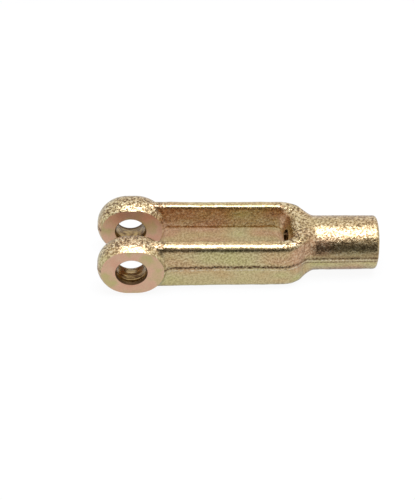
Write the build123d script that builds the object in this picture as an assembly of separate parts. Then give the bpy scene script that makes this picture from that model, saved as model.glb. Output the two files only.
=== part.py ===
"""Forged clevis rod end: a two-eared yoke on an internally threaded barrel, in one piece of steel.

Frame: origin at the middle of the pin bore, halfway between the ears. +X runs along the rod towards
the barrel's open end, Y along the pin, and +Z up. The dies part on the XY plane, so every forged wall
leans away from it. Millimetres.
"""
import os
from math import asin, degrees, radians, sqrt, tan

from build123d import *

# what the yoke takes: a 1/2 in pin and a rod with a 1/2-20 thread
PIN_BORE_RADIUS = 6.4
PIN_BORE_CHAMFER = 0.3
THREAD_MINOR_RADIUS = 5.7
THREAD_MOUTH_CHAMFER = 0.9

# ears: oval discs with rounded rims, faced flat on both sides
EAR_GAP = 15.9
EAR_SPAN = 36.9
EAR_TIP = 14.0
EAR_REACH = 15.0
EAR_RADIUS = 12.65
EAR_RIM_RADIUS = 7.4
EAR_FACING = 2.85
EAR_FILLET = 2.8

# arms: two straps with rounded edges, a little higher towards the ears and sweeping up to them
ARM_OUTER = 16.3
ARM_HALF_HEIGHT = 10.8
ARM_EYE_HALF_HEIGHT = 11.2
ARM_EYE_SWEEP = 12.5
ARM_EYE_SWEEP_RADIUS = 36.0
ARM_EYE_SWEEP_END = 5.5
ARM_EDGE_RADIUS = 3.1
DIE_DRAFT = 1.5

# slot between the arms, measured on the parting plane; its end wall flares above FLARE_START
SLOT_END = 64.75
SLOT_HALF_WIDTH = 10.05
SLOT_CORNER = 4.5
SLOT_END_DRAFT = 12.5
SLOT_SIDE_DRAFT = 4.5
SLOT_CORNER_GROWTH = 0.2
SLOT_EDGE_RADIUS = 1.5
FLARE_START = 6.5
FLARE_RADIUS = 5.0
SLOT_SPANS = 7

# neck: in plan a round shoulder runs into a hollow at the barrel, while the corners grow round
NECK_START = 61.5
NECK_END = 78.0
NECK_SPANS = 16
SHOULDER_START = 62.9
SHOULDER_RADIUS = 11.2
SHOULDER_HOLLOW = 4.0
CORNER_START = 70.5
CORNER_END = 77.2

# barrel
BARREL_RADIUS = 11.4
BARREL_END_RADIUS = 11.27
BARREL_END = 103.5
BARREL_LAND = 0.3
BARREL_EDGE_RADIUS = 1.3


def ease(x, start, end):
    """0 before start, 1 after end, and an S-curve between them."""
    t = min(max((x - start) / (end - start), 0.0), 1.0)
    return t * t * (3.0 - 2.0 * t)


def die_outline(half_width, half_height):
    """Six corners of a drafted section, widest on the parting plane."""
    top = half_width - half_height * tan(radians(DIE_DRAFT))
    return [
        (half_width, 0),
        (top, half_height),
        (-top, half_height),
        (-half_width, 0),
        (-top, -half_height),
        (top, -half_height),
    ]


def die_section(x, half_width, half_height, corner):
    """A drafted section at x with its top and bottom corners rounded."""
    with BuildSketch(Plane.YZ.offset(x)) as section:
        with BuildLine():
            Polyline(*die_outline(half_width, half_height), close=True)
        make_face()
        corners = section.vertices().filter_by(lambda v: abs(v.Y) > half_height / 2)
        fillet(corners, corner)
    return section.sketch


def shoulder_centres():
    """Where the shoulder's arc and the hollow's arc, which touch, have their centres in plan."""
    round_y = ARM_OUTER - SHOULDER_RADIUS
    hollow_y = BARREL_RADIUS + SHOULDER_HOLLOW
    apart = SHOULDER_RADIUS + SHOULDER_HOLLOW
    run = sqrt(apart**2 - (hollow_y - round_y) ** 2)
    return (SHOULDER_START, round_y), (SHOULDER_START + run, hollow_y)


def neck_half_width(x):
    """Half the neck's width in plan: arm, round shoulder, hollow, barrel."""
    (round_x, round_y), (hollow_x, hollow_y) = shoulder_centres()
    share = SHOULDER_RADIUS / (SHOULDER_RADIUS + SHOULDER_HOLLOW)
    if x <= round_x:
        return ARM_OUTER
    if x < round_x + share * (hollow_x - round_x):
        return round_y + sqrt(SHOULDER_RADIUS**2 - (x - round_x) ** 2)
    if x < hollow_x:
        return hollow_y - sqrt(SHOULDER_HOLLOW**2 - (hollow_x - x) ** 2)
    return BARREL_RADIUS


def neck_section(x):
    """The section at x of the neck: its height and corners each follow an S-curve."""
    rising = ease(x, SHOULDER_START, CORNER_END)
    rounding = ease(x, CORNER_START, CORNER_END)
    half_height = ARM_HALF_HEIGHT + (BARREL_RADIUS - ARM_HALF_HEIGHT) * rising
    corner = ARM_EDGE_RADIUS + (BARREL_RADIUS - BARREL_LAND - ARM_EDGE_RADIUS) * rounding
    return die_section(x, neck_half_width(x), half_height, corner)


def make_neck():
    """The shoulder, lofted from the arms' rectangle to the barrel's circle."""
    span = (NECK_END - NECK_START) / NECK_SPANS
    return loft([neck_section(NECK_START + i * span) for i in range(NECK_SPANS + 1)])


def make_barrel():
    """The barrel, with a slight taper and a rounded end."""
    corner = BARREL_END_RADIUS - BARREL_LAND
    end_section = die_section(BARREL_END, BARREL_END_RADIUS, BARREL_END_RADIUS, corner)
    barrel = loft([neck_section(NECK_END), end_section])
    end_edges = barrel.faces().sort_by(Axis.X)[-1].edges()
    return fillet(end_edges, BARREL_EDGE_RADIUS)


def make_arm_block():
    """Both arms as one block, before the slot is cut: a strap in side view, drafted in section."""
    with BuildPart() as block:
        with BuildSketch(Plane.XZ):
            with BuildLine():
                at_neck = (NECK_START, ARM_HALF_HEIGHT)
                at_sweep = (ARM_EYE_SWEEP, ARM_EYE_HALF_HEIGHT)
                strap = TangentArc(at_neck, at_sweep, tangent=(-1, 0))
                angle = degrees(asin((ARM_EYE_SWEEP - ARM_EYE_SWEEP_END) / ARM_EYE_SWEEP_RADIUS))
                sweep = JernArc(strap @ 1, strap % 1, ARM_EYE_SWEEP_RADIUS, -angle)
                Line(strap @ 0, (NECK_START, 0))
                Line((NECK_START, 0), (ARM_EYE_SWEEP_END, 0))
                Line((ARM_EYE_SWEEP_END, 0), sweep @ 1)
            make_face()
            mirror(about=Plane.XZ)
        extrude(amount=2 * ARM_OUTER, both=True)
        with BuildSketch(Plane.YZ):
            with BuildLine():
                Polyline(*die_outline(ARM_OUTER, EAR_RADIUS), close=True)
            make_face()
        extrude(amount=NECK_START, mode=Mode.INTERSECT)
        fillet(block.edges().filter_by(is_outer_arm_edge), ARM_EDGE_RADIUS)
    return block.part


def is_outer_arm_edge(edge):
    """True on the long edges at the top and bottom of the arms' outer walls."""
    middle = edge.center()
    along = ARM_EYE_SWEEP_END + 1 < middle.X < NECK_START and edge.length > ARM_EDGE_RADIUS
    return along and abs(middle.Y) > SLOT_HALF_WIDTH and abs(middle.Z) > ARM_HALF_HEIGHT / 2


def slot_end_at(height):
    """How far the slot reaches at a height: a drafted end wall, curving away towards its rim."""
    flare = max(height - FLARE_START, 0) ** 2 / (2 * FLARE_RADIUS)
    return SLOT_END + height * tan(radians(SLOT_END_DRAFT)) + flare


def slot_outline(height):
    """The slot in plan at a height above the parting plane."""
    start = -2 * EAR_TIP
    end = slot_end_at(height)
    half_width = SLOT_HALF_WIDTH + height * tan(radians(SLOT_SIDE_DRAFT))
    corner = SLOT_CORNER + height * SLOT_CORNER_GROWTH
    with BuildSketch(Plane.XY.offset(height)) as outline:
        with Locations(((start + end) / 2, 0)):
            Rectangle(end - start, 2 * half_width)
        fillet(outline.vertices().group_by(Axis.X)[-1], corner)
    return outline.sketch


def make_slot():
    """The space between the arms, drafted above and below the parting plane."""
    top = EAR_RADIUS + 1
    upper = loft([slot_outline(top * i / SLOT_SPANS) for i in range(SLOT_SPANS + 1)])
    return upper + mirror(upper, about=Plane.XY)


def is_slot_rim_edge(edge):
    """True on the edges where the slot's walls meet the top and bottom of the yoke."""
    box = edge.bounding_box()
    high = box.min.Z > ARM_HALF_HEIGHT / 2 or box.max.Z < -ARM_HALF_HEIGHT / 2
    between_arms = max(box.max.Y, -box.min.Y) < (SLOT_HALF_WIDTH + ARM_OUTER - ARM_EDGE_RADIUS) / 2
    along = 0 < edge.center().X < CORNER_START
    return high and between_arms and along


def make_ear(side):
    """One ear: a disc stretched along the arm, with rounded rims, then faced flat on both sides."""
    middle = side * (EAR_SPAN + EAR_GAP) / 4
    thickness = (EAR_SPAN - EAR_GAP) / 2
    with BuildPart() as ear:
        with BuildSketch(Plane.XZ.offset(-middle)):
            with Locations(((EAR_REACH - EAR_TIP) / 2, 0)):
                SlotOverall(EAR_REACH + EAR_TIP, 2 * EAR_RADIUS)
        extrude(amount=thickness / 2 + EAR_FACING, both=True)
        rims = ear.faces().filter_by(Axis.Y).edges()
        fillet(rims, EAR_RIM_RADIUS)
        with Locations((0, middle, 0)):
            Box(4 * EAR_REACH, thickness, 4 * EAR_REACH, mode=Mode.INTERSECT)
    return ear.part


def is_ear_root_edge(edge):
    """True on the seam between an ear and its arm."""
    box = edge.bounding_box()
    sides = (abs(box.min.Y), abs(box.max.Y))
    flats = (EAR_GAP / 2, EAR_SPAN / 2)
    on_flat = any(abs(side - flat) < 0.01 for side in sides for flat in flats)
    return not on_flat and EAR_TIP / 3 < box.min.X and box.max.X < EAR_REACH + 1


def make_forging():
    """The forging with its faced ears, before drilling."""
    yoke = make_arm_block() + make_neck() + make_barrel() - make_slot()
    yoke = fillet(yoke.edges().filter_by(is_slot_rim_edge), SLOT_EDGE_RADIUS)
    yoke += make_ear(1)
    yoke += make_ear(-1)
    return fillet(yoke.edges().filter_by(is_ear_root_edge), EAR_FILLET)


def drill_pin_bore(body):
    """Bore both ears in line and break the edges on their faces."""
    body -= Rot(90, 0, 0) * Cylinder(PIN_BORE_RADIUS, 2 * EAR_SPAN)
    rims = body.edges().filter_by(GeomType.CIRCLE)
    rims = rims.filter_by(lambda e: abs(e.radius - PIN_BORE_RADIUS) < 0.01)
    return chamfer(rims, PIN_BORE_CHAMFER)


def drill_rod_bore(body):
    """Drill the barrel for its thread, from its end into the slot, with a countersunk mouth."""
    length = BARREL_END - NECK_START
    middle = (BARREL_END + NECK_START) / 2
    body -= Pos(middle, 0, 0) * Rot(0, 90, 0) * Cylinder(THREAD_MINOR_RADIUS, length)
    mouth = body.faces().sort_by(Axis.X)[-1].edges().filter_by(GeomType.CIRCLE)
    return chamfer(mouth, THREAD_MOUTH_CHAMFER)


def make_clevis():
    """The finished clevis."""
    return drill_rod_bore(drill_pin_bore(make_forging()))


if __name__ == "__main__":
    os.makedirs("parts", exist_ok=True)
    export_step(make_clevis(), "parts/clevis.step")
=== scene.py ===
"""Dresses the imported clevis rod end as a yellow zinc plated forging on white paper."""

import math
from itertools import product

import bmesh
import bpy
import numpy as np
from mathutils import Matrix, Vector
from mathutils.bvhtree import BVHTree
from mathutils.kdtree import KDTree


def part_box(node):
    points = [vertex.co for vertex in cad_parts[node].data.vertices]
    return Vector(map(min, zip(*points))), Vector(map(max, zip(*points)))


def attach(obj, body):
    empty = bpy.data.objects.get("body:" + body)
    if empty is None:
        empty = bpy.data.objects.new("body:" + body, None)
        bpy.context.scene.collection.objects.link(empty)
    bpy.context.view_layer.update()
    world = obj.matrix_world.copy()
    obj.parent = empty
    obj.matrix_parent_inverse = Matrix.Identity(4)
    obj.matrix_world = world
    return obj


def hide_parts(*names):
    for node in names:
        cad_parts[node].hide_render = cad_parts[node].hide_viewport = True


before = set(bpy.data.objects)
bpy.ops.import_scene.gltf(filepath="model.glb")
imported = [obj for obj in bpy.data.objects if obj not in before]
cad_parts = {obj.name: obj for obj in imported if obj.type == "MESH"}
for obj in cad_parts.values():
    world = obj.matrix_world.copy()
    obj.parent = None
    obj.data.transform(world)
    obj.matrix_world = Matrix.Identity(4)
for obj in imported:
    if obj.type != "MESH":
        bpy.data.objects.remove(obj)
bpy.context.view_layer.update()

MM = 0.001

# The part's own sizes, in metres: its box from the frame, the rest as the CAD source has them.
LOWEST, HIGHEST = (np.array(corner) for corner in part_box("clevis"))
EAR_FACE = HIGHEST[1]
EAR_BOTTOM = LOWEST[2]
BARREL_END = HIGHEST[0]
EAR_INNER_FACE = 7.95 * MM
PIN_BORE_RADIUS = 6.4 * MM
PIN_BORE_MOUTH_RADIUS = 6.7 * MM
ROD_BORE_RADIUS = 5.7 * MM
ROD_BORE_MOUTH_RADIUS = 6.6 * MM
SLOT_END = 64.75 * MM
SLOT_END_DRAFT = math.radians(12.5)
BARREL_END_BOTTOM = -11.27 * MM

# How faces are told apart: by how near they are to a size above, by their normal's part along an
# axis, and by where they start along the yoke.
FACE_TOLERANCE = 0.01 * MM
SQUARE_ACROSS = 0.999
FACING_ALONG = 0.9
UPRIGHT = 0.5
ROD_BORE_START = SLOT_END - 2.0 * MM
END_FACE_START = BARREL_END - 0.8 * MM
# Corners nearer to each other than this are one, and an edge that turns by more than this is sharp.
WELD = 0.001 * MM
SHARP_EDGE = math.radians(30)

# The forged skin: an even mesh laid on the solid, sewn to the edges of its machined faces and
# roughened, but less and less within the seam's fade.
SKIN_VOXEL = 0.43 * MM
SEAM_STEP = 0.05 * MM
SEAM_RELAX_ROUNDS = 3
SEAM_FADE = 0.8 * MM

# Each wave of the relief: the size of its cells and how far it stands in or out.
RELIEF_WAVES = ((9.0 * MM, 0.10 * MM), (3.5 * MM, 0.06 * MM), (1.4 * MM, 0.045 * MM))

# Where the skin changes. Each stretch fades between two distances along or across the yoke, or
# two heights: at the first it is still missing, and at the second it is full.
EARS_FADE = (18.45 * MM, 11.07 * MM)
NECK_FADE = (SLOT_END - 6.0 * MM, SLOT_END)
BEYOND_SLOT_FADE = (SLOT_END, SLOT_END + 4.0 * MM)
BARREL_FADE = (SLOT_END, SLOT_END + 10.0 * MM)
RIM_FADE = (15.0 * MM, 16.8 * MM)
UPPER_WALL_FADE = (0.0, 1.0 * MM)
UPPER_BARREL_FADE = (0.0, 3.0 * MM)
PINK_BARREL_FADE = (-2.0 * MM, 1.0 * MM)

# The same for the part of a normal along an axis.
END_FACE_TURN = (0.5, 0.8)
TIP_TURN = (0.2, 0.5)
OUTSIDE_TURN = (0.1, 0.4)
OUTER_WALL_TURN = (0.8, 0.6)
FLASH_TURN = (0.75, 0.5)
LEVEL_TURN = (0.25, 0.75)
TOP_TURN = (0.3, 0.8)
DARK_REFLECTION_TURN = (0.95, 0.8)

# The painted dark reflection, a brown band above the flash: where it fades in along the barrel, and
# its two edges.
DARK_REFLECTION_ALONG = (SLOT_END + 6.0 * MM, SLOT_END + 13.0 * MM)
DARK_REFLECTION_LOWER_EDGE = (0.5 * MM, 1.5 * MM)
DARK_REFLECTION_UPPER_EDGE = (7.5 * MM, 3.5 * MM)

# The trimmed flash round the parting plane: its half width, how high it stands outside and in the
# slot, how high its middle runs and how far that wanders, the size of its tears, and how far from
# the parting plane the mesh is finer.
FLASH_HALF = 1.15 * MM
FLASH_HEIGHT = 0.24 * MM
INNER_RIDGE = 0.16 * MM
FLASH_MIDDLE = -0.15 * MM
FLASH_WANDER = 0.15 * MM
WANDER_CELL = 7.0 * MM
TEAR_CELL = 0.7 * MM
FLASH_REACH = 1.9 * MM
WANDER_SEED = 11
WIDTH_SEED = 12
HEIGHT_SEED = 13
# As shares: how far the tears change its width and its height, its usual and its greatest height,
# and how much of the tearing is missing on the barrel.
TEAR_IN_WIDTH = 0.25
TEAR_IN_HEIGHT = 0.9
USUAL_HEIGHT = 0.6
GREATEST_HEIGHT = 1.2
TRIMMED_ON_BARREL = 0.8

# Across the flash, in its half widths: its land, the torn edges on it, painted dark with their
# shade, and the lip between, with a painted highlight, each with its middle and the two distances
# from there between which it fades.
LAND_FADE = (1.0, 0.55)
UPPER_BURR = 0.70
UPPER_BURR_FADE = (0.85, 0.25)
LOWER_BURR = -0.85
LOWER_BURR_FADE = (0.60, 0.20)
LIP = -0.60
LIP_FADE = (0.50, 0.15)

# How coarse the grain is, from 0 to 1: at least, and what the walls' upper halves, the tops and
# the tops of the ears and the shoulder add to that. The barrel's upper half has its own.
GRAIN_LEAST = 0.30
GRAIN_UPPER_WALLS = 0.20
GRAIN_TOPS = 0.15
GRAIN_END_TOPS = 0.75
GRAIN_BARREL = 0.7
# How much smoother the ears' rims, the barrel's top and its end face are, as shares.
SMOOTHER_RIM = 0.6
SMOOTHER_BARREL = 0.5
SMOOTHER_END_FACE = 0.8

# Each wave of the plating's hue: the size of its cells, its strength and its seed.
HUE_WAVES = ((7.0 * MM, 1.0, 4278), (3.5 * MM, 0.5, 1181))
# The patches of hue are drawn out along the yoke, and are this much fainter on its tops.
HUE_STRETCH = np.array((0.45, 1.0, 1.0))
HUE_FAINTER = 0.7
# How much pinker the film is on the tops, inside the slot and on the barrel's upper half.
PINKER_TOPS = 0.08
PINKER_INSIDE = 0.18
PINKER_BARREL = 0.16

# The 1/2-20 thread in the barrel. Its crest and its root are flat for these shares of a pitch.
THREAD_PITCH = 1.27 * MM
THREAD_MAJOR_RADIUS = 6.35 * MM
THREAD_CREST = 0.125
THREAD_ROOT = 0.25
THREAD_ROWS_PER_PITCH = 10
THREAD_COLUMNS = 72

# The plating's colours: a chromate film over zinc, which shifts with its thickness.
PINK = (0.67, 0.39, 0.21)
ROSE = (0.80, 0.46, 0.31)
SALMON = (0.82, 0.53, 0.36)
GOLD = (0.66, 0.47, 0.22)
STRAW = (0.67, 0.54, 0.27)
OLIVE = (0.62, 0.57, 0.23)
BRASS = (0.46, 0.32, 0.14)
BRONZE = (0.24, 0.15, 0.065)
UMBER = (0.15, 0.085, 0.04)
# The torn edge's dark: partly its torn metal, partly painted shade.
DARK_TEAR_AND_SHADE = (0.16, 0.08, 0.03)
# Paler peaks of the grain, and a painted highlight on the flash's lip.
RUBBED_AND_HIGHLIGHT = (0.84, 0.73, 0.50)

# The forged plating: the cells and depths of its grain, which of the noise makes its peaks, its
# pits and its tears, how strong its painted dark reflection on the barrel is, and how strong the
# torn edge's dark and painted shade are off the tears and on them.
GRAIN_CELL = 0.95 * MM
GRAIN_DEPTH = 0.24 * MM
FINE_GRAIN_CELL = 0.3 * MM
FINE_GRAIN_DEPTH = 0.03 * MM
PEAKS = (0.52, 0.64)
PITS = (0.52, 0.42)
TEARS = (0.40, 0.58)
DARK_REFLECTION_STRENGTH = 0.45
DARK_TEAR_AND_SHADE_STRENGTH = (0.95, 0.35)

# The machined faces' plating: its patches of hue, its speckle and the rings under it.
PATCH_CELL = 9.0 * MM
SPECKLE_CELL = 0.5 * MM
SPECKLE_DEPTH = 0.02 * MM
SPECKLES = (0.60, 0.35)
SPECKLE_STRENGTH = 0.22
FACE_RING_WIDTH = 0.9 * MM
FACE_RING_WANDER = 1.5
FACE_RING_DEPTH = 0.004 * MM

# The bores' plating: its tone and rings, and where painted shade darkens it, by how far it is from
# the pin's axis and from the middle of the yoke.
BORE_TONE_CELL = 3.0 * MM
BORE_RING_WIDTH = 1.5 * MM
BORE_RING_WANDER = 1.2
BORE_RING_DEPTH = 0.05 * MM
BORE_MOUTH_FADE = (PIN_BORE_RADIUS, PIN_BORE_RADIUS + 0.2 * MM)
BORE_END_FADE = (EAR_FACE - 2.0 * MM, EAR_FACE - 1.0 * MM)

# How rough each plating is, from its smoothest to its roughest, and the span in which most of a
# noise's values lie.
FORGED_ROUGHNESS = (0.20, 0.34)
MACHINED_ROUGHNESS = (0.30, 0.42)
BORED_ROUGHNESS = (0.16, 0.70)
NOISE_SPAN = (0.3, 0.7)

# A wave texture's scale times the length of one of its waves.
WAVE_SCALE = math.pi / 10.0

# The camera: where it aims, how far off it is, how it looks there, in degrees, its lens and its
# sensor, in millimetres, and how far it sees, in metres.
AIM = Vector((32.07, -3.37, -0.85)) * MM
CAMERA_DISTANCE = 602.5 * MM
CAMERA_AZIMUTH = -4.70
CAMERA_ELEVATION = 40.52
CAMERA_ROLL = 2.60
LENS = 103.4
SENSOR = 36.0
CAMERA_REACH = 10.0

# The paper: how far it reaches, how white it is, how evenly lit the eye and the metal see it, how
# bright it is to the metal near the forging and towards the front, and where that changes.
FLOOR_REACH = 3.0
FLOOR_WHITE = 0.9
FLOOR_GLOW_SEEN = 0.93
FLOOR_GLOW_MIRRORED = 0.60
FLOOR_MIRRORED = 0.72
FLOOR_DIM = 0.32
FLOOR_DIM_START = -45.0 * MM
FLOOR_DIM_END = -110.0 * MM

# The softbox overhead, in metres. Its front and back edges are at these degrees above the horizon
# in front.
SOFTBOX_HEIGHT = 0.5
SOFTBOX_WIDTH = 0.40
SOFTBOX_MIDDLE = 0.06
SOFTBOX_FRONT_ANGLE = 68.0
SOFTBOX_BACK_ANGLE = 98.0
SOFTBOX_GLOW = 6.2
SOFTBOX_COLOUR = (0.92, 0.97, 1.12)

# The room's brightness straight in front and behind, and where it changes between them: -1 is
# straight in front, and 1 is straight behind.
ROOM_FRONT = 0.03
ROOM_FRONT_EDGE = -0.93
ROOM_BACK = 0.90
ROOM_BACK_EDGE = -0.35

# What scatters a lattice's values: a large odd factor for each axis, one for the seed, and two
# rounds of a shift and a factor, all in 32 bits, of which the lower half is the value.
AXIS_FACTORS = np.array((73856093, 19349663, 83492791))
SEED_FACTOR = 668265263
MIXING_ROUNDS = ((15, 2246822519), (13, 3266489917))
ALL_BITS = 0xFFFFFFFF
HALF_OF_BITS = 0xFFFF


def smooth_step(start, end, values):
    """0 as far as start, 1 from end on, and an S-curve between them; end may be the lower one."""
    share = np.clip((values - start) / (end - start), 0.0, 1.0)
    return share * share * (3.0 - 2.0 * share)


def lattice(corners, seed):
    """A random value from -1 to 1 for each whole-number corner, always the same one."""
    mixed = np.bitwise_xor.reduce(corners * AXIS_FACTORS, axis=1)
    mixed = (mixed + seed * SEED_FACTOR) & ALL_BITS
    for shift, factor in MIXING_ROUNDS:
        mixed = ((mixed ^ mixed >> shift) * factor) & ALL_BITS
    return ((mixed ^ mixed >> 16) & HALF_OF_BITS) / (HALF_OF_BITS / 2) - 1.0


def lumps(places, cell, seed):
    """Smooth random heights from -1 to 1: a lattice of random values, blended between corners."""
    grid = places / cell
    corners = np.floor(grid).astype(np.int64)
    share = smooth_step(0.0, 1.0, grid - corners)
    heights = np.zeros(len(places))
    for step in product((0, 1), repeat=3):
        weight = np.prod(np.where(step, share, 1.0 - share), axis=1)
        heights += weight * lattice(corners + step, seed)
    return heights


def vectors(elements, name):
    """One vector of each of a mesh's vertices or faces, such as its place, as an array."""
    values = np.empty(len(elements) * 3)
    elements.foreach_get(name, values)
    return values.reshape(-1, 3)


def add_object(name, data):
    """A new object in the scene, at the origin."""
    thing = bpy.data.objects.new(name, data)
    bpy.context.scene.collection.objects.link(thing)
    return thing


def merged_copy(node, name):
    """A copy of a CAD node's mesh with its loose triangles joined at their corners."""
    mesh = node.data.copy()
    mesh.name = name
    shape = bmesh.new()
    shape.from_mesh(mesh)
    bmesh.ops.remove_doubles(shape, verts=shape.verts, dist=WELD)
    shape.to_mesh(mesh)
    shape.free()
    return mesh


def is_across(normals):
    """Marks the faces that lie square across the pin."""
    return np.abs(normals[:, 1]) > SQUARE_ACROSS


def in_rod_bore(middles, normals):
    """Marks the faces of the barrel's bore and its mouth."""
    from_axis = np.hypot(middles[:, 1], middles[:, 2])
    inside = (from_axis < ROD_BORE_MOUTH_RADIUS) & (middles[:, 0] > ROD_BORE_START)
    return inside & (np.abs(normals[:, 0]) < FACING_ALONG)


def is_machined(middles, normals):
    """Marks the faces that a tool has cut: the ears' flat faces and both bores."""
    beside = np.abs(middles[:, 1])
    off_face = np.minimum(np.abs(beside - EAR_FACE), np.abs(beside - EAR_INNER_FACE))
    ear_face = (off_face < FACE_TOLERANCE) & is_across(normals) & (middles[:, 0] < SLOT_END / 2)
    pin_bore = np.hypot(middles[:, 0], middles[:, 2]) < PIN_BORE_MOUTH_RADIUS
    return ear_face | pin_bore | in_rod_bore(middles, normals)


def seam_points(mesh, machined):
    """Points close together along the edges between machined and forged faces."""
    sides = {}
    for polygon, cut in zip(mesh.polygons, machined):
        for key in polygon.edge_keys:
            sides.setdefault(key, set()).add(bool(cut))
    points = []
    for (a, b), kinds in sides.items():
        if len(kinds) == 2:
            start, end = mesh.vertices[a].co, mesh.vertices[b].co
            steps = max(1, math.ceil((end - start).length / SEAM_STEP))
            points += [start.lerp(end, i / steps) for i in range(steps + 1)]
    return points


def nearest_tree(points):
    """The points in a tree that finds the nearest one to a place."""
    tree = KDTree(len(points))
    for i, point in enumerate(points):
        tree.insert(point, i)
    tree.balance()
    return tree


def voxel_skin(mesh, voxel):
    """An even quad skin over a closed mesh."""
    skin = add_object("forged_skin", mesh.copy())
    skin.data.remesh_voxel_size = voxel
    with bpy.context.temp_override(object=skin, active_object=skin):
        bpy.ops.object.voxel_remesh()
    return skin


def near_boundary(vertex):
    """True for a vertex one edge away from the skin's boundary."""
    return any(edge.other_vert(vertex).is_boundary for edge in vertex.link_edges)


def refine_flash(shape):
    """Halves the mesh's edges on the upright walls along the flash."""
    near = [f for f in shape.faces if abs(f.calc_center_median().z) < FLASH_REACH]
    upright = [f for f in near if abs(f.normal.z) < UPRIGHT]
    edges = {edge for face in upright for edge in face.edges}
    bmesh.ops.subdivide_edges(shape, edges=list(edges), cuts=1, use_grid_fill=True)


def sew_skin(skin, mesh, machined, seam):
    """Lays the skin on the solid, without its machined stretches, and sews it to their edges."""
    corners = [v.co for v in mesh.vertices]
    surface = BVHTree.FromPolygons(corners, [p.vertices for p in mesh.polygons])
    shape = bmesh.new()
    shape.from_mesh(skin.data)
    cut = [f for f in shape.faces if machined[surface.find_nearest(f.calc_center_median())[2]]]
    bmesh.ops.delete(shape, geom=cut, context="FACES")
    refine_flash(shape)
    for vertex in shape.verts:
        if vertex.is_boundary:
            vertex.co = seam.find(vertex.co)[0]
        else:
            vertex.co = surface.find_nearest(vertex.co)[0]
    close = [v for v in shape.verts if not v.is_boundary and near_boundary(v)]
    for _ in range(SEAM_RELAX_ROUNDS):
        bmesh.ops.smooth_vert(
            shape, verts=close, factor=0.5, use_axis_x=True, use_axis_y=True, use_axis_z=True
        )
        for vertex in close:
            vertex.co = surface.find_nearest(vertex.co)[0]
    shape.to_mesh(skin.data)
    shape.free()


def on_barrel(places):
    """1 on the barrel, 0 on the yoke."""
    return smooth_step(*BARREL_FADE, places[:, 0])


def on_end_face(places, normals):
    """1 on the barrel's end face, which is cut rather than forged, 0 elsewhere."""
    return smooth_step(*END_FACE_TURN, normals[:, 0]) * (places[:, 0] > END_FACE_START)


def on_outside(places, normals):
    """1 on walls that face away from the slot, 0 inside it."""
    sideways = normals[:, 1] * np.sign(places[:, 1])
    beyond_slot = smooth_step(*BEYOND_SLOT_FADE, places[:, 0])
    tips = smooth_step(*TIP_TURN, -normals[:, 0]) * (places[:, 0] < 0)
    return np.maximum.reduce([smooth_step(*OUTSIDE_TURN, sideways), beyond_slot, tips])


def on_outer_wall(places, normals):
    """1 on the upright outer walls, 0 on the top and the bottom and inside the slot."""
    upright = smooth_step(*OUTER_WALL_TURN, np.abs(normals[:, 2]))
    forged = 1.0 - on_end_face(places, normals)
    return upright * forged * on_outside(places, normals)


def torn_share(places):
    """How torn the flash is: 1 on the yoke, and cleanly trimmed along the barrel."""
    return 1.0 - TRIMMED_ON_BARREL * on_barrel(places)


def above_flash(places):
    """How far each place is above the middle of the flash, in half widths of the flash."""
    middle = FLASH_MIDDLE + FLASH_WANDER * lumps(places, WANDER_CELL, WANDER_SEED)
    ragged = TEAR_IN_WIDTH * torn_share(places) * lumps(places, TEAR_CELL, WIDTH_SEED)
    return (places[:, 2] - middle) / (FLASH_HALF * (1.0 + ragged))


def on_flash(places, normals):
    """1 on the trimmed flash, 0 off it: a flat band with sloping flanks on the upright walls."""
    upright = smooth_step(*FLASH_TURN, np.abs(normals[:, 2]))
    forged = 1.0 - on_end_face(places, normals)
    return smooth_step(*LAND_FADE, np.abs(above_flash(places))) * upright * forged


def burr_share(places, normals):
    """1 along the torn edge on top of the flash, and along its lower edge on the barrel."""
    above = above_flash(places)
    upper = smooth_step(*UPPER_BURR_FADE, np.abs(above - UPPER_BURR))
    lower = smooth_step(*LOWER_BURR_FADE, np.abs(above - LOWER_BURR))
    return np.maximum(upper, lower * on_barrel(places)) * on_outer_wall(places, normals)


def lip_share(places, normals):
    """1 on the lip under the torn edge, where a highlight is painted; on the barrel it is the
    middle of the flash.
    """
    middle = LIP * (1.0 - on_barrel(places))
    lip = smooth_step(*LIP_FADE, np.abs(above_flash(places) - middle))
    return lip * on_outer_wall(places, normals)


def grain_share(places, normals):
    """How coarse the shot-blasted grain is: strongest on the ears' tops and on the shoulder.

    The ears' rims are smoother towards their machined faces, and so is the barrel's end face.
    """
    level = smooth_step(*LEVEL_TURN, np.abs(normals[:, 2]))
    ears = smooth_step(*EARS_FADE, places[:, 0])
    neck = smooth_step(*NECK_FADE, places[:, 0]) * (1.0 - SMOOTHER_BARREL * on_barrel(places))
    rim = smooth_step(*RIM_FADE, np.abs(places[:, 1]))
    ends = np.maximum(ears, neck) * (1.0 - SMOOTHER_RIM * rim)
    upper_walls = smooth_step(*UPPER_WALL_FADE, places[:, 2]) * (1.0 - level)
    upper_barrel = smooth_step(*UPPER_BARREL_FADE, places[:, 2]) * on_barrel(places)
    tops = (GRAIN_TOPS + GRAIN_END_TOPS * ends) * level
    yoke = GRAIN_LEAST + GRAIN_UPPER_WALLS * upper_walls + tops
    burr = torn_share(places) * burr_share(places, normals)
    blasted = np.maximum.reduce([yoke, GRAIN_BARREL * upper_barrel, burr])
    return blasted * (1.0 - SMOOTHER_END_FACE * on_end_face(places, normals))


def dark_reflection_share(places, normals):
    """1 on the painted dark reflection, a brown band just above the flash on the barrel, 0 off it.
    """
    height = places[:, 2]
    band = smooth_step(*DARK_REFLECTION_LOWER_EDGE, height) * smooth_step(*DARK_REFLECTION_UPPER_EDGE, height)
    beside = smooth_step(*DARK_REFLECTION_TURN, np.abs(normals[:, 0]))
    return smooth_step(*DARK_REFLECTION_ALONG, places[:, 0]) * band * beside


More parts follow.
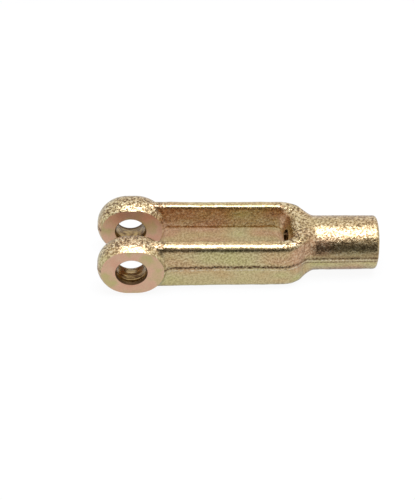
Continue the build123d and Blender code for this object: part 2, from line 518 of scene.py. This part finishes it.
def hue_share(places, normals):
    """Which film of the plating shows, from 0 pink to 1 olive.

    The films lie in long patches, fainter on the tops and pinker inside the slot and on the barrel.
    """
    drawn_out = places * HUE_STRETCH
    hue = sum(strength * lumps(drawn_out, cell, seed) for cell, strength, seed in HUE_WAVES)
    level = smooth_step(*TOP_TURN, normals[:, 2])
    inside = (1.0 - on_outside(places, normals)) * (1.0 - level)
    upper_barrel = on_barrel(places) * smooth_step(*PINK_BARREL_FADE, places[:, 2])
    pinker = [PINKER_TOPS * level, PINKER_INSIDE * inside, PINKER_BARREL * upper_barrel]
    return 0.5 + 0.5 * hue * (1.0 - HUE_FAINTER * level) - np.maximum.reduce(pinker)


def skin_relief(places, normals):
    """How far the forged skin stands off the solid: scale pits, die waviness and the flash."""
    relief = sum(height * lumps(places, cell, i) for i, (cell, height) in enumerate(RELIEF_WAVES))
    flash = on_flash(places, normals)
    outside = on_outside(places, normals)
    ragged = TEAR_IN_HEIGHT * torn_share(places) * lumps(places, TEAR_CELL, HEIGHT_SEED)
    torn = np.clip(USUAL_HEIGHT + ragged, 0.0, GREATEST_HEIGHT)
    return relief + flash * (outside * torn * FLASH_HEIGHT + (1.0 - outside) * INNER_RIDGE)


def roughen_skin(skin, seam):
    """Moves the skin's vertices along their normals by the relief, less and less towards a seam.

    Attributes keep how the plating looks at each vertex, worked out before they move.
    """
    mesh = skin.data
    places, normals = vectors(mesh.vertices, "co"), vectors(mesh.vertices, "normal")
    looks = {
        "burr": burr_share,
        "lip": lip_share,
        "grain": grain_share,
        "dark_reflection": dark_reflection_share,
        "hue": hue_share,
    }
    for name, share in looks.items():
        attribute = mesh.attributes.new(name, "FLOAT", "POINT")
        attribute.data.foreach_set("value", share(places, normals).astype(np.float32))
    to_seam = np.array([seam.find(place)[2] for place in places])
    relief = skin_relief(places, normals) * smooth_step(0.0, SEAM_FADE, to_seam)
    moved = np.clip(places + normals * relief[:, None], LOWEST, HIGHEST)
    mesh.vertices.foreach_set("co", moved.astype(np.float32).ravel())
    mesh.update()


def make_skin(solid, machined):
    """The forged skin, with holes where the machined faces go."""
    skin = voxel_skin(solid, SKIN_VOXEL)
    seam = nearest_tree(seam_points(solid, machined))
    sew_skin(skin, solid, machined, seam)
    roughen_skin(skin, seam)
    skin.data.shade_smooth()
    return skin


def make_cut_faces(solid, kept, name):
    """The kept faces as the solid has them, with sharp edges between them."""
    shape = bmesh.new()
    shape.from_mesh(solid)
    dropped = [face for face, keep in zip(shape.faces[:], kept) if not keep]
    bmesh.ops.delete(shape, geom=dropped, context="FACES")
    mesh = bpy.data.meshes.new(name)
    shape.to_mesh(mesh)
    shape.free()
    mesh.shade_smooth()
    mesh.set_sharp_from_angle(angle=SHARP_EDGE)
    return add_object(name, mesh)


def thread_radius(turns):
    """The thread's radius by turns along its helix: a crest, a straight flank, a root, a flank."""
    phase = np.abs((turns % 1.0) - 0.5) * 2.0
    rise = np.clip((phase - THREAD_CREST) / (1.0 - THREAD_CREST - THREAD_ROOT), 0.0, 1.0)
    return ROD_BORE_RADIUS + (THREAD_MAJOR_RADIUS - ROD_BORE_RADIUS) * rise


def grid_quads(rows, columns):
    """The quads of a grid that closes on itself across its columns, facing its axis."""
    row, column = np.meshgrid(np.arange(rows), np.arange(columns), indexing="ij")
    after = (column + 1) % columns
    corners = [row * columns + column, (row + 1) * columns + column]
    corners += [(row + 1) * columns + after, row * columns + after]
    return np.stack(corners, axis=-1).reshape(-1, 4).tolist()


def make_thread():
    """The tapped bore: a grid of turn and depth whose radius follows the helix.

    It starts on the slot's sloping end wall, fades in over a pitch, and runs out where it is cut
    away by the 45 degree countersink at the barrel's end.
    """
    turn = np.linspace(0.0, 2.0 * math.pi, THREAD_COLUMNS, endpoint=False)
    start = SLOT_END + ROD_BORE_RADIUS * np.abs(np.sin(turn)) * math.tan(SLOT_END_DRAFT)
    rows = math.ceil((BARREL_END - SLOT_END) / THREAD_PITCH * THREAD_ROWS_PER_PITCH)
    share = np.linspace(0.0, 1.0, rows + 1)[:, None]
    x = start + (BARREL_END - start) * share
    cut = thread_radius(x / THREAD_PITCH - turn / (2.0 * math.pi))
    fade = smooth_step(0.0, THREAD_PITCH, x - start)
    radius = ROD_BORE_RADIUS + (cut - ROD_BORE_RADIUS) * fade
    countersink = ROD_BORE_MOUTH_RADIUS - (BARREL_END - x)
    radius = np.maximum(radius, countersink)
    places = np.stack([x, radius * np.cos(turn), radius * np.sin(turn)], axis=-1)
    mesh = bpy.data.meshes.new("rod_thread")
    mesh.from_pydata(places.reshape(-1, 3), [], grid_quads(rows, THREAD_COLUMNS))
    mesh.shade_smooth()
    return add_object("rod_thread", mesh)


class Nodes:
    """A material's or a world's nodes: each call adds one, fed from numbers or sockets."""

    def __init__(self, owner):
        owner.use_nodes = True
        self.owner = owner
        self.tree = owner.node_tree

    def feed(self, node, inputs):
        """Links each input that is given a socket, and sets the others."""
        for name, value in dict(inputs).items():
            if isinstance(value, bpy.types.NodeSocket):
                self.tree.links.new(value, node.inputs[name])
            else:
                node.inputs[name].default_value = value

    def add(self, kind, inputs=(), **settings):
        """The outputs of a new node of this kind."""
        node = self.tree.nodes.new("ShaderNode" + kind)
        for name, value in settings.items():
            setattr(node, name, value)
        self.feed(node, inputs)
        return node.outputs

    def place(self):
        return self.add("TexCoord")["Object"]

    def attribute(self, name):
        return self.add("Attribute", attribute_name=name)["Fac"]

    def math(self, operation, a, b):
        return self.add("Math", {0: a, 1: b}, operation=operation)[0]

    def between(self, value, ends, results=(0.0, 1.0), **settings):
        """The first result up to the first end, the second from the other on, blended between."""
        inputs = {"Value": value, "From Min": ends[0], "From Max": ends[1]}
        inputs.update({"To Min": results[0], "To Max": results[1]})
        return self.add("MapRange", inputs, **settings)["Result"]

    def distance(self, place, axes):
        """How far a place is from the origin, counting only the axes that are 1."""
        kept = self.add("VectorMath", {0: place, 1: axes}, operation="MULTIPLY")[0]
        return self.add("VectorMath", {0: kept}, operation="LENGTH")["Value"]

    def noise(self, place, cell, detail, roughness):
        """Random values from 0 to 1 that change over about one cell."""
        inputs = {"Vector": place, "Scale": 1.0 / cell, "Detail": detail, "Roughness": roughness}
        return self.add("TexNoise", inputs)["Fac"]

    def waves(self, place, width, wander, **settings):
        """Waves from 0 to 1, each of them as wide as said, that wander off their course."""
        inputs = {"Vector": place, "Scale": WAVE_SCALE / width, "Distortion": wander}
        return self.add("TexWave", inputs, **settings)["Fac"]

    def ramp(self, value, stops):
        """A colour for each value, blended between the stops."""
        result = self.add("ValToRGB", {"Fac": value})["Color"]
        elements = result.node.color_ramp.elements
        while len(elements) < len(stops):
            elements.new(0.5)
        for element, (at, colour) in zip(elements, stops):
            element.position = at
            element.color = (*colour, 1.0)
        return result

    def cover(self, share, under, colour):
        """The colour laid over what is under it, by share."""
        return self.add("Mix", {0: share, 6: under, 7: (*colour, 1.0)}, data_type="RGBA")[2]

    def bump(self, height, depth, strength=1.0, under=None):
        inputs = {"Height": height, "Distance": depth, "Strength": strength}
        if under is not None:
            inputs["Normal"] = under
        return self.add("Bump", inputs)["Normal"]

    def metal(self, colour, roughness, lift, coat=()):
        """The material, finished as metal, bare or under a clear coat."""
        inputs = {"Base Color": colour, "Metallic": 1.0, "Roughness": roughness, "Normal": lift}
        inputs.update(coat)
        self.feed(self.tree.nodes["Principled BSDF"], inputs)
        return self.owner


def forged_zinc():
    """Plating on the shot-blasted forging: coarse grain, dark in its pits, hue by long patches."""
    nodes = Nodes(bpy.data.materials.new("forged zinc"))
    place = nodes.place()
    films = [(0.15, PINK), (0.40, GOLD), (0.55, STRAW), (0.80, OLIVE)]
    colour = nodes.ramp(nodes.attribute("hue"), films)
    coarse = nodes.attribute("grain")
    grain = nodes.noise(place, GRAIN_CELL, detail=3.0, roughness=0.65)
    fine = nodes.noise(place, FINE_GRAIN_CELL, detail=2.0, roughness=0.6)
    torn = nodes.between(nodes.noise(place, TEAR_CELL, detail=2.0, roughness=0.6), TEARS)
    lip = nodes.math("MULTIPLY", nodes.attribute("lip"), torn)
    peaks = nodes.math("MULTIPLY", nodes.between(grain, PEAKS), coarse)
    pits = nodes.math("MULTIPLY", nodes.between(grain, PITS), coarse)
    dark_reflection = nodes.math("MULTIPLY", nodes.attribute("dark_reflection"), DARK_REFLECTION_STRENGTH)
    dark_tear_and_shade = nodes.between(torn, (0.0, 1.0), DARK_TEAR_AND_SHADE_STRENGTH)
    burr = nodes.math("MULTIPLY", nodes.attribute("burr"), dark_tear_and_shade)
    # The grain's peaks are paler, and the flash's lip has a painted highlight.
    colour = nodes.cover(nodes.math("MAXIMUM", lip, peaks), colour, RUBBED_AND_HIGHLIGHT)
    colour = nodes.cover(pits, colour, UMBER)
    # A painted dark reflection: a brown band on the barrel's sides above the flash.
    colour = nodes.cover(dark_reflection, colour, BRONZE)
    # The torn edge of the flash is painted dark: partly its torn metal, partly its shade.
    colour = nodes.cover(burr, colour, DARK_TEAR_AND_SHADE)
    lift = nodes.bump(grain, GRAIN_DEPTH, strength=coarse)
    lift = nodes.bump(fine, FINE_GRAIN_DEPTH, strength=0.6, under=lift)
    coat = {"Coat Weight": 0.3, "Coat IOR": 1.6, "Coat Roughness": 0.15, "Coat Normal": lift}
    return nodes.metal(colour, nodes.between(fine, NOISE_SPAN, FORGED_ROUGHNESS), lift, coat)


def machined_zinc():
    """Plating on cut steel: faint rings round the pin's axis under a salmon film."""
    nodes = Nodes(bpy.data.materials.new("machined zinc"))
    place = nodes.place()
    patches = nodes.noise(place, PATCH_CELL, detail=2.0, roughness=0.6)
    speckle = nodes.noise(place, SPECKLE_CELL, detail=3.0, roughness=0.6)
    films = [(0.34, ROSE), (0.48, SALMON), (0.62, STRAW), (0.76, OLIVE)]
    speckled = nodes.between(speckle, SPECKLES, (0.0, SPECKLE_STRENGTH))
    colour = nodes.cover(speckled, nodes.ramp(patches, films), BRONZE)
    rings = nodes.waves(
        place, FACE_RING_WIDTH, FACE_RING_WANDER, wave_type="RINGS", rings_direction="Y"
    )
    lift = nodes.bump(rings, FACE_RING_DEPTH)
    lift = nodes.bump(speckle, SPECKLE_DEPTH, strength=0.5, under=lift)
    return nodes.metal(colour, nodes.between(speckle, NOISE_SPAN, MACHINED_ROUGHNESS), lift)


def bored_zinc():
    """Plating in the bores: dark brass over turned rings, dull at the pin's ends, with painted
    shade there and on the mouths.

    The thread is far from the pin's axis, so it has the same bronze as the pin bores' mouths.
    """
    nodes = Nodes(bpy.data.materials.new("bored zinc"))
    place = nodes.place()
    tone = nodes.noise(place, BORE_TONE_CELL, detail=2.0, roughness=0.6)
    mouth = nodes.between(nodes.distance(place, axes=(1.0, 0.0, 1.0)), BORE_MOUTH_FADE)
    outer_end = nodes.between(nodes.distance(place, axes=(0.0, 1.0, 0.0)), BORE_END_FADE)
    colour = nodes.ramp(tone, [(0.35, UMBER), (0.60, BRASS)])
    # Painted shade: bronze on the pin bores' mouths, and umber towards their outer ends.
    colour = nodes.cover(mouth, colour, BRONZE)
    colour = nodes.cover(outer_end, colour, UMBER)
    rings = nodes.waves(
        place, BORE_RING_WIDTH, BORE_RING_WANDER, wave_type="BANDS", bands_direction="Y"
    )
    off_mouth = nodes.math("SUBTRACT", 1.0, mouth)
    lift = nodes.bump(rings, BORE_RING_DEPTH, strength=off_mouth)
    return nodes.metal(colour, nodes.between(outer_end, (0.0, 1.0), BORED_ROUGHNESS), lift)


def white_paper():
    """White paper under the forging: white to the eye, with a soft shadow.

    The metal sees the same paper with more of its shadow, dimmer towards the front of the table.
    """
    nodes = Nodes(bpy.data.materials.new("white paper"))
    path = nodes.add("LightPath")
    across = nodes.add("SeparateXYZ", {0: nodes.place()})["Y"]
    dim = nodes.between(across, (FLOOR_DIM_END, FLOOR_DIM_START), (FLOOR_DIM, FLOOR_MIRRORED))
    level = nodes.math("MAXIMUM", dim, path["Is Camera Ray"])
    seen = nodes.math("MULTIPLY", path["Is Camera Ray"], FLOOR_GLOW_SEEN)
    mirrored = nodes.math("MULTIPLY", path["Is Glossy Ray"], FLOOR_GLOW_MIRRORED)
    glowing = nodes.math("MAXIMUM", seen, mirrored)
    paper = nodes.add("BsdfDiffuse", {"Color": nodes.math("MULTIPLY", level, FLOOR_WHITE)})[0]
    glow = nodes.add("Emission", {"Strength": level})[0]
    mixed = nodes.add("MixShader", {0: glowing, 1: paper, 2: glow})[0]
    nodes.feed(nodes.tree.nodes["Material Output"], {"Surface": mixed})
    return nodes.owner


def finish_piece(piece, material):
    """Gives a piece its material and slot, and the body that it rides on."""
    piece.data.materials.clear()
    piece.data.materials.append(material)
    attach(piece, "root")


def build_clevis(node):
    """The node's forged skin, its machined faces, its pin bores and its thread."""
    solid = merged_copy(node, "clevis solid")
    middles, normals = vectors(solid.polygons, "center"), vectors(solid.polygons, "normal")
    machined = is_machined(middles, normals)
    in_pin_bore = machined & ~is_across(normals) & ~in_rod_bore(middles, normals)
    skin = make_skin(solid, machined)
    faces = make_cut_faces(solid, machined & is_across(normals), "machined_faces")
    bores = make_cut_faces(solid, in_pin_bore, "pin_bores")
    thread = make_thread()
    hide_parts("clevis")
    bored = bored_zinc()
    finish_piece(skin, forged_zinc())
    finish_piece(faces, machined_zinc())
    finish_piece(bores, bored)
    finish_piece(thread, bored)


def add_floor():
    """White paper under the ears and the barrel's end, which the forging rests on."""
    slope = (BARREL_END_BOTTOM - EAR_BOTTOM) / BARREL_END
    reach = (-FLOOR_REACH, FLOOR_REACH)
    corners = [(x, y, EAR_BOTTOM + slope * x) for x, y in product(reach, reach)]
    mesh = bpy.data.meshes.new("floor")
    mesh.from_pydata(corners, [], [(0, 2, 3, 1)])
    mesh.materials.append(white_paper())
    floor = add_object("floor", mesh)


def add_softbox():
    """A softbox over the forging, spanning the two angles above the horizon in front."""
    front = -SOFTBOX_HEIGHT / math.tan(math.radians(SOFTBOX_FRONT_ANGLE))
    back = -SOFTBOX_HEIGHT / math.tan(math.radians(SOFTBOX_BACK_ANGLE))
    data = bpy.data.lights.new("softbox", "AREA")
    data.shape = "RECTANGLE"
    data.color = SOFTBOX_COLOUR
    data.size = SOFTBOX_WIDTH
    data.size_y = back - front
    data.energy = SOFTBOX_GLOW * math.pi * data.size * data.size_y
    lamp = add_object("softbox", data)
    lamp.location = (SOFTBOX_MIDDLE, (front + back) / 2, SOFTBOX_HEIGHT)


def add_room():
    """The room round the table: dark on the camera's side, paler behind, and white to the eye."""
    world = bpy.data.worlds.new("room")
    bpy.context.scene.world = world
    nodes = Nodes(world)
    across = nodes.add("SeparateXYZ", {0: nodes.add("TexCoord")["Generated"]})["Y"]
    edges, levels = (ROOM_FRONT_EDGE, ROOM_BACK_EDGE), (ROOM_FRONT, ROOM_BACK)
    pale = nodes.between(across, edges, levels, interpolation_type="SMOOTHSTEP")
    strength = nodes.math("MAXIMUM", pale, nodes.add("LightPath")["Is Camera Ray"])
    inputs = {"Color": (1.0, 1.0, 1.0, 1.0), "Strength": strength}
    nodes.feed(nodes.tree.nodes["Background"], inputs)


def add_camera():
    """A long lens on the aim point, from the camera's azimuth, elevation and roll."""
    data = bpy.data.cameras.new("camera")
    data.lens = LENS
    data.sensor_width = SENSOR
    data.clip_end = CAMERA_REACH
    camera = add_object("camera", data)
    turn, tip, roll = (math.radians(x) for x in (CAMERA_AZIMUTH, CAMERA_ELEVATION, CAMERA_ROLL))
    level = Vector((-math.sin(turn), math.cos(turn), 0.0))
    ahead = level * math.cos(tip) - Vector((0.0, 0.0, math.sin(tip)))
    right = Matrix.Rotation(-roll, 3, ahead) @ Vector((math.cos(turn), math.sin(turn), 0.0))
    up = right.cross(ahead)
    camera.matrix_world = Matrix((right, up, -ahead)).transposed().to_4x4()
    camera.location = AIM - CAMERA_DISTANCE * ahead
    bpy.context.scene.camera = camera


build_clevis(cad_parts["clevis"])
add_floor()
add_softbox()
add_room()
add_camera()
bpy.context.scene.view_settings.view_transform = "Standard"
